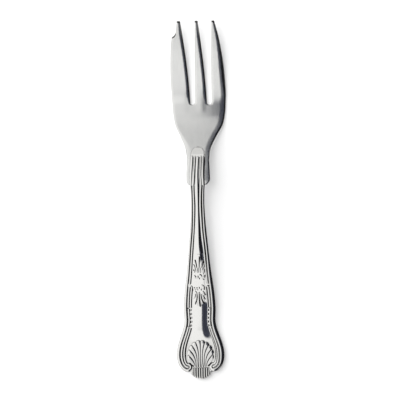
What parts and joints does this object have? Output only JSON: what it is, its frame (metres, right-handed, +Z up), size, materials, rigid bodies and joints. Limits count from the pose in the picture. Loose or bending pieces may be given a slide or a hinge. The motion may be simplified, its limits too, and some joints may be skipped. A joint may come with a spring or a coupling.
{
  "type": "pastry fork",
  "caption": "Three-tined pastry fork with a notched cutting tine and a waisted handle struck with threads, beads, honeysuckle and a scallop shell",
  "frame": {"origin": "at the centre of the bounding box in plan and on the plane that the fork rests on", "axes": "+Y runs from the handle's foot to the tips of the tines, +X to the right of the fork seen from above with the tines pointing away, +Z up, with the front of the fork and the curve of its tines facing up"},
  "size_m": [0.0228, 0.15, 0.01],
  "materials": {
    "satin_head_steel": "satin, finely brushed along the fork",
    "polished_handle_steel": "polished, softly worn",
    "polished_relief_steel": "polished crests with darker grooves",
    "shaded_flute_steel": "polished flutes, darkened in the grooves"
  },
  "bodies": {
    "root": {"palm": "satin_head_steel", "cutting_tine": "satin_head_steel", "middle_tine": "satin_head_steel", "outer_tine": "satin_head_steel", "shoulders": "satin_head_steel", "stem": "polished_handle_steel", "handle_plate": "polished_handle_steel", "front_tongue": "polished_handle_steel", "back_tongue": "polished_handle_steel", "front_left_border": "polished_relief_steel", "front_right_border": "polished_relief_steel", "front_left_beads": "polished_relief_steel", "front_right_beads": "polished_relief_steel", "front_stem_rib": "polished_relief_steel", "front_upper_honeysuckle": "polished_relief_steel", "front_lower_honeysuckle": "polished_relief_steel", "front_shell": "polished_relief_steel", "front_foot_flutes": "shaded_flute_steel", "back_left_border": "polished_relief_steel", "back_right_border": "polished_relief_steel", "back_left_beads": "polished_relief_steel", "back_right_beads": "polished_relief_steel", "back_stem_rib": "polished_relief_steel", "back_upper_honeysuckle": "polished_relief_steel", "back_lower_honeysuckle": "polished_relief_steel", "back_shell": "polished_relief_steel", "back_foot_flutes": "shaded_flute_steel"}
  },
  "joints": []
}
